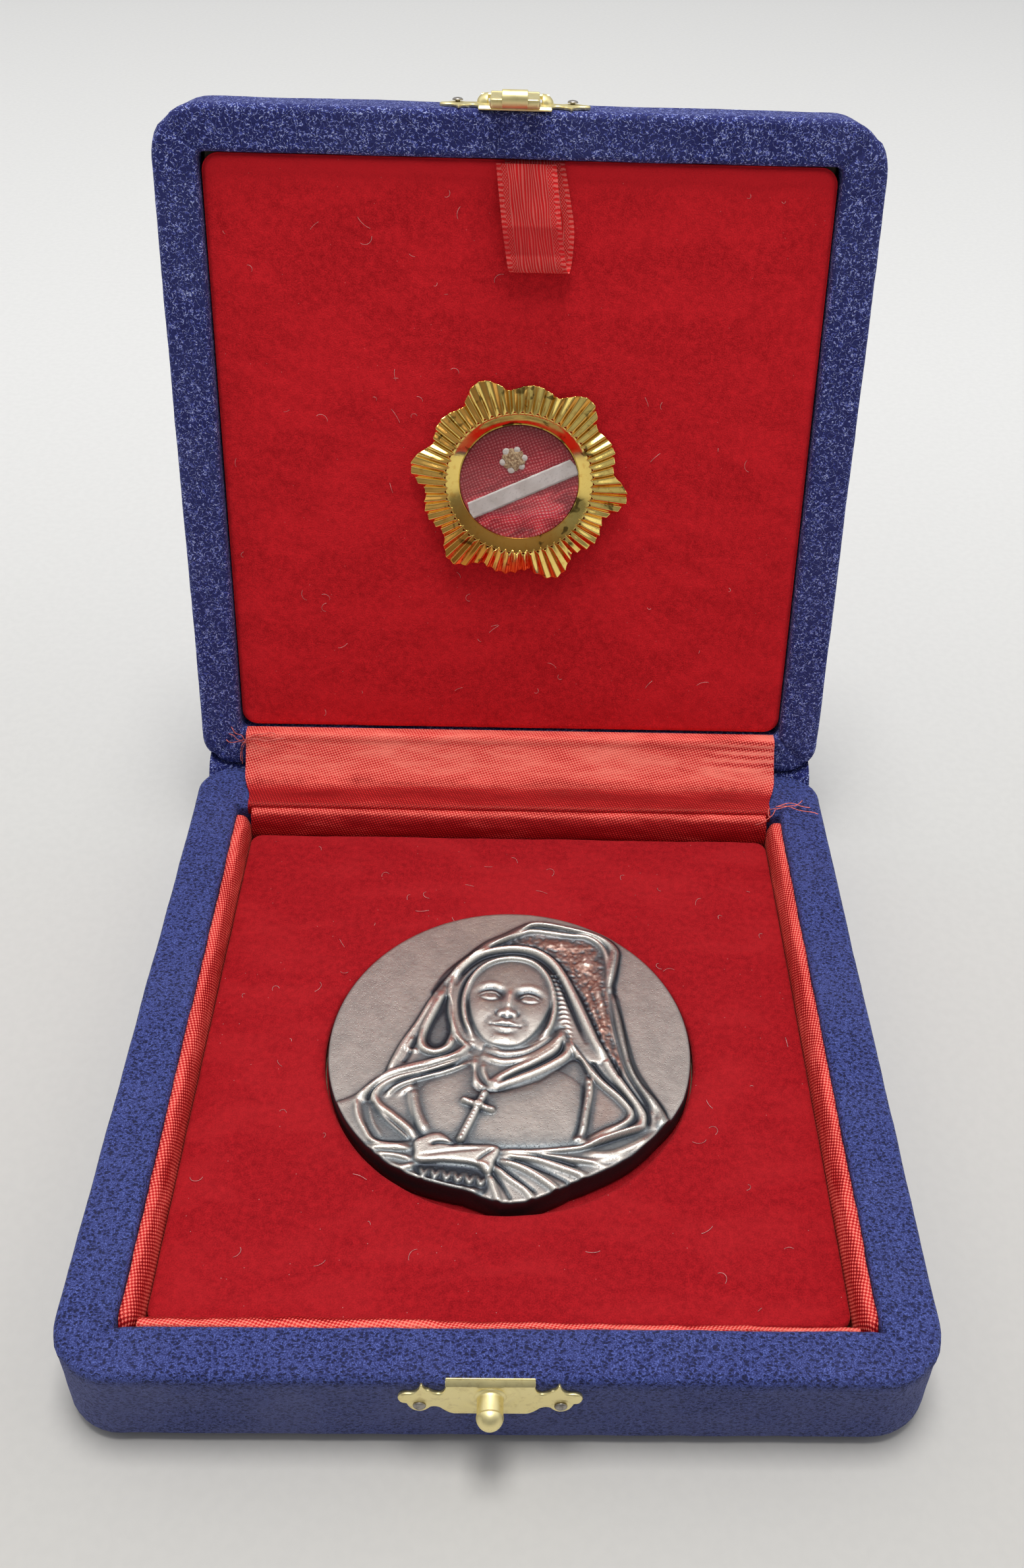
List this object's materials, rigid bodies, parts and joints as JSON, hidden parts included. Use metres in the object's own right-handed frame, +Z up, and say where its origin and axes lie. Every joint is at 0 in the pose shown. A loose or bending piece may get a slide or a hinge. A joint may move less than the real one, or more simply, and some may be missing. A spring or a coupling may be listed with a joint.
{
  "type": "cased medal",
  "caption": "Hinged presentation case in blue crepe cloth, lined with red velvet and satin, holding a round silvered medal with a gilt rosette brooch in its lid.",
  "frame": {"origin": "centre of the case base's underside", "axes": "+Z up from the underside, +Y towards the hinge, +X to the right of someone facing the open case"},
  "size_m": [0.122, 0.1628, 0.1429],
  "materials": {
    "blue_crepe": "pebbled crepe cloth",
    "crimson_velvet": "short pile velvet",
    "red_satin": "satin weave",
    "rail_wood": "planed, covered",
    "card": "grey board, covered",
    "oxidised_silver": "silvered bronze, oxidised and relieved",
    "gilt": "bright gilt",
    "catch_brass": "pale plated brass",
    "nail_steel": "dull",
    "clear_glass": "polished",
    "dark_silk": "open weave",
    "pale_paper": "plain, blank",
    "relic_white": "folded threads"
  },
  "bodies": {
    "base": {"base_cover": "blue_crepe", "base_front_rail": "rail_wood", "base_hinge_rail": "rail_wood", "base_left_rail": "rail_wood", "base_right_rail": "rail_wood", "base_floor_board": "card", "base_underside_sheet": "blue_crepe", "pad_spacer": "card", "pad_board": "card", "pad_velvet": "crimson_velvet", "recess_bed": "crimson_velvet", "trim_left": "red_satin", "trim_right": "red_satin", "trim_front": "red_satin", "trim_back": "red_satin", "hinge_satin_base": "red_satin", "base_catch_plate": "catch_brass", "catch_stud": "catch_brass", "base_plate_pin_left": "nail_steel", "base_plate_pin_right": "nail_steel"},
    "medal": {"medal": "oxidised_silver"},
    "lid": {"lid_cover": "blue_crepe", "lid_front_rail": "rail_wood", "lid_hinge_rail": "rail_wood", "lid_left_rail": "rail_wood", "lid_right_rail": "rail_wood", "lid_back_board": "card", "panel_ledge_front": "card", "panel_ledge_hinge": "card", "panel_ledge_left": "card", "panel_ledge_right": "card", "hinge_satin_lid": "red_satin", "lid_catch_plate": "catch_brass", "lid_plate_pin_left": "nail_steel", "lid_plate_pin_right": "nail_steel", "hasp_pin": "catch_brass"},
    "hasp": {"hasp": "catch_brass"},
    "lid_panel": {"panel_board": "card", "panel_velvet": "crimson_velvet", "pull_ribbon": "red_satin"},
    "brooch": {"brooch_collar": "gilt", "brooch_bezel": "gilt", "brooch_glass": "clear_glass", "brooch_silk": "dark_silk", "brooch_paper": "pale_paper", "brooch_flower": "relic_white", "brooch_back": "gilt", "brooch_needle": "nail_steel"}
  },
  "joints": [
    {"name": "lid_hinge", "type": "hinge", "parent": "base", "child": "lid", "pos_m": [0, 0.062, 0.01695], "axis": [1, 0, 0], "range_deg": [0, 100]},
    {"name": "hasp_hinge", "type": "hinge", "parent": "lid", "child": "hasp", "pos_m": [-0.0012, 0.08929, 0.13977], "axis": [-1, 0, 0], "range_deg": [0, 110]},
    {"name": "panel_lift", "type": "slide", "parent": "lid", "child": "lid_panel", "axis": [0, -0.9848, 0.1736], "range_m": [0, 0.115]},
    {"name": "brooch_lift", "type": "slide", "parent": "lid_panel", "child": "brooch", "axis": [0, -0.9848, 0.1736], "range_m": [0, 0.04]},
    {"name": "medal_lift", "type": "slide", "parent": "base", "child": "medal", "axis": [0, 0, 1], "range_m": [0, 0.045]}
  ]
}
